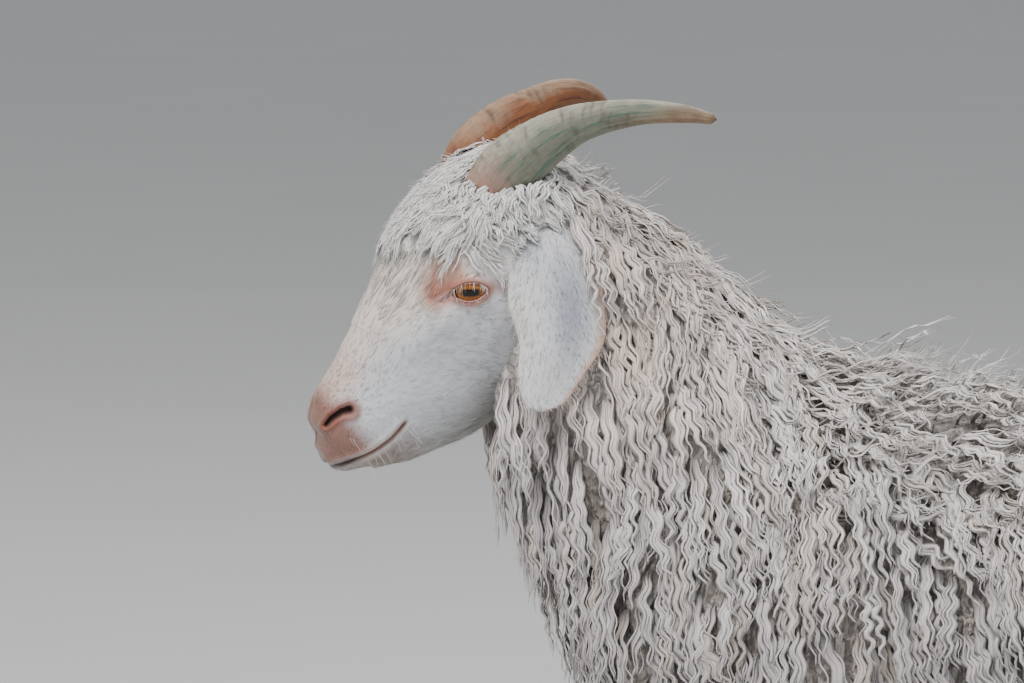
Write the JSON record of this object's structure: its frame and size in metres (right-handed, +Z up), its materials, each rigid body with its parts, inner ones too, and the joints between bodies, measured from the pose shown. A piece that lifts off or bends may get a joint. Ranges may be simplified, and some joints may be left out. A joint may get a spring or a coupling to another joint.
{
  "type": "angora goat",
  "caption": "Life-size still model of a standing angora goat in full curly fleece, with swept horns and hanging ears.",
  "frame": {"origin": "on the floor, under the centre of the bounding box, between the fore and hind hooves", "axes": "+Z up, the goat faces -X, its left side faces -Y"},
  "size_m": [0.9518, 0.4112, 0.8377],
  "materials": {
    "fleece": "curly mohair, matt with a slight silky sheen",
    "short_hair": "short flat hair",
    "horn_grey": "ridged grey-green horn",
    "horn_tan": "ridged tan-brown horn",
    "hoof": "worn dark horn",
    "eye": "wet amber eye with a level dark pupil"
  },
  "bodies": {
    "root": {"head": "short_hair", "ear_left": "short_hair", "ear_right": "short_hair", "eye_left": "eye", "eye_right": "eye", "horn_left": "horn_grey", "horn_right": "horn_tan", "neck": "fleece", "torso": "fleece", "tail": "fleece", "fore_left_leg": "fleece", "fore_right_leg": "fleece", "hind_left_leg": "fleece", "hind_right_leg": "fleece", "fore_left_cannon": "short_hair", "fore_right_cannon": "short_hair", "hind_left_cannon": "short_hair", "hind_right_cannon": "short_hair", "fore_left_claw_outer": "hoof", "fore_left_claw_inner": "hoof", "fore_right_claw_outer": "hoof", "fore_right_claw_inner": "hoof", "hind_left_claw_outer": "hoof", "hind_left_claw_inner": "hoof", "hind_right_claw_outer": "hoof", "hind_right_claw_inner": "hoof"}
  },
  "joints": []
}
